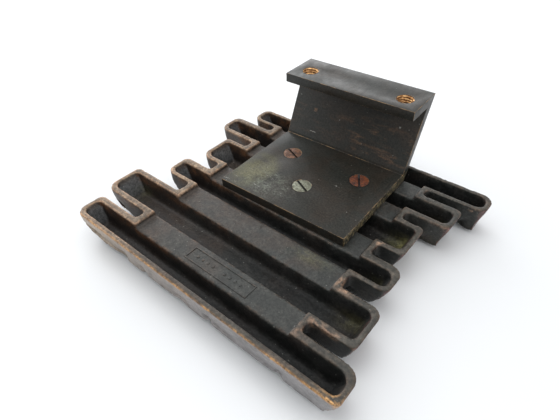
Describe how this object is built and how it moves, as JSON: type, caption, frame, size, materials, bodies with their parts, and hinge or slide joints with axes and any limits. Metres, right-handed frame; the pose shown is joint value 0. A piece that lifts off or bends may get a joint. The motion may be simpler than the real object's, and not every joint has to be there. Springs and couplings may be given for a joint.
{
  "type": "cast bronze door pull handle",
  "caption": "Cast bronze door pull made of parallel hollow ribs, held off the door by a leaning bracket with tapped bolt holes and countersunk screws.",
  "frame": {"origin": "midway between the two tapped bolt holes, on the bracket's outer face, which meets the door", "axes": "+Z leaves the bracket's outer face towards the door, +X runs along the bracket's long edge and within 1.6 degrees of the ribs, +Y points from the plate's free edge towards the leaning web"},
  "size_m": [0.2113, 0.1832, 0.0715],
  "materials": {
    "cast_bronze": "dark brown patinated sand-cast bronze, rubbed to copper along the rims",
    "bracket_bronze": "dark olive-brown patinated bronze plate with bright tapped threads",
    "copper_screw": "dulled copper-coloured screw",
    "rusty_screw": "red-brown corroded screw",
    "pale_screw": "pale grey-green plated screw"
  },
  "bodies": {
    "root": {"casting": "cast_bronze", "bracket": "bracket_bronze", "screw_left": "copper_screw", "screw_right": "rusty_screw", "screw_front": "pale_screw"}
  },
  "joints": []
}
